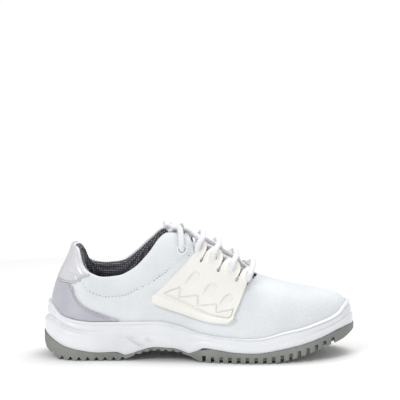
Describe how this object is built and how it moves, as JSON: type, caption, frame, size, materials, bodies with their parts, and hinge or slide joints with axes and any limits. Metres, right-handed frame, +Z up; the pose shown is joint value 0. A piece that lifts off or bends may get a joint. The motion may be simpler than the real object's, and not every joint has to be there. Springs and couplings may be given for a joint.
{
  "type": "golf shoe",
  "caption": "low lace-up golf shoe for the right foot, with a moulded lug sole, rubber lace wings, a tongue that presses in and a footbed that lifts at the heel",
  "frame": {"origin": "on the ground, under the middle of the shoe's bounding box", "axes": "+X from heel to toe, +Y towards the big-toe side, +Z up"},
  "size_m": [0.3, 0.1075, 0.1277],
  "materials": {
    "rubber_tread": "moulded, matt",
    "midsole_foam": "satin moulded foam",
    "shank_steel": "cold rolled",
    "fibre_board": "pressed cellulose fibre board",
    "footbed_foam": "soft moulded foam",
    "footbed_cloth": "brushed knit",
    "upper_microfibre": "fine grained microfibre, matt",
    "white_lining": "plain knit",
    "mesh_lining": "three-dimensional spacer mesh",
    "padding_foam": "open cell foam",
    "stiffener": "thermoformed sheet",
    "counter_gloss": "coated, glossy",
    "tab_gloss": "coated, glossy",
    "facing_tape": "woven reinforcing tape",
    "wing_rubber": "moulded, satin",
    "eyelet_plastic": "moulded ring",
    "lace_cord": "round braid",
    "aglet_plastic": "clear coated tip"
  },
  "bodies": {
    "shoe": {"outsole": "rubber_tread", "midsole": "midsole_foam", "shank": "shank_steel", "insole_board": "fibre_board", "upper": "upper_microfibre", "vamp_lining": "white_lining", "collar_lining": "mesh_lining", "collar_foam": "padding_foam", "toe_puff": "stiffener", "heel_counter": "stiffener", "heel_cover": "counter_gloss", "heel_tab": "tab_gloss", "facing_lateral": "facing_tape", "facing_medial": "facing_tape", "lace_wing_lateral": "wing_rubber", "lace_wing_medial": "wing_rubber", "eyelet_lateral": "eyelet_plastic", "eyelet_medial": "eyelet_plastic", "lace": "lace_cord", "lace_knot": "lace_cord", "aglets": "aglet_plastic"},
    "tongue": {"tongue_skin": "upper_microfibre", "tongue_foam": "padding_foam", "tongue_lining": "mesh_lining"},
    "footbed": {"footbed_foam": "footbed_foam", "footbed_cloth": "footbed_cloth"}
  },
  "joints": [
    {"name": "tongue_press", "type": "hinge", "parent": "shoe", "child": "tongue", "pos_m": [0.0575, 0.003, 0.069], "axis": [0, 1, 0], "range_deg": [-10, 0], "stiffness_Nm_per_rad": 0.8},
    {"name": "footbed_lift", "type": "hinge", "parent": "shoe", "child": "footbed", "pos_m": [0.1405, 0, 0.0345], "axis": [0, 1, 0], "range_deg": [0, 2.5]}
  ]
}
